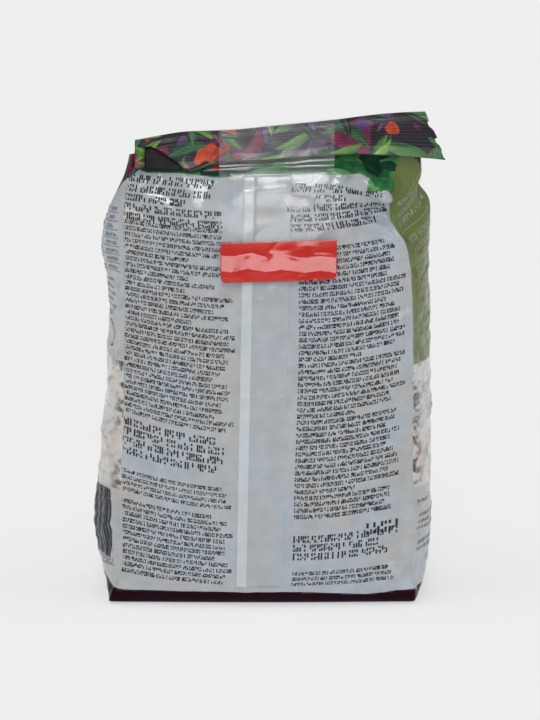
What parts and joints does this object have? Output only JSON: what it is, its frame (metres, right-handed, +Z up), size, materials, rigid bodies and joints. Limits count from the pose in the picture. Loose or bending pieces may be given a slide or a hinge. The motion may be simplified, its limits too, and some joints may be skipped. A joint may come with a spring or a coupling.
{
  "type": "bag of green lentils",
  "caption": "Full film bag of green lentils that stands on its flat base, side windows showing the seeds, its empty neck folded over and held by clear tape with a red pull tab.",
  "frame": {"origin": "on the floor, under the middle of the bag's box", "axes": "+Z up, +X to the right when facing the seamed back panel, -Y out of the back panel towards the viewer"},
  "size_m": [0.1106, 0.062, 0.1569],
  "materials": {
    "bag_film": "thin crinkled packing film, milky white over clear, with printed fields of olive, dark plum and leaf green",
    "clear_tape": "clear glossy tape",
    "red_tab": "glossy red film with soft creases",
    "lentil_skin": "dry matt seed skins, olive green to tan with brown flecks"
  },
  "bodies": {
    "root": {"bag": "bag_film", "closure_tape": "clear_tape", "opening_tab": "red_tab"}
  },
  "joints": []
}
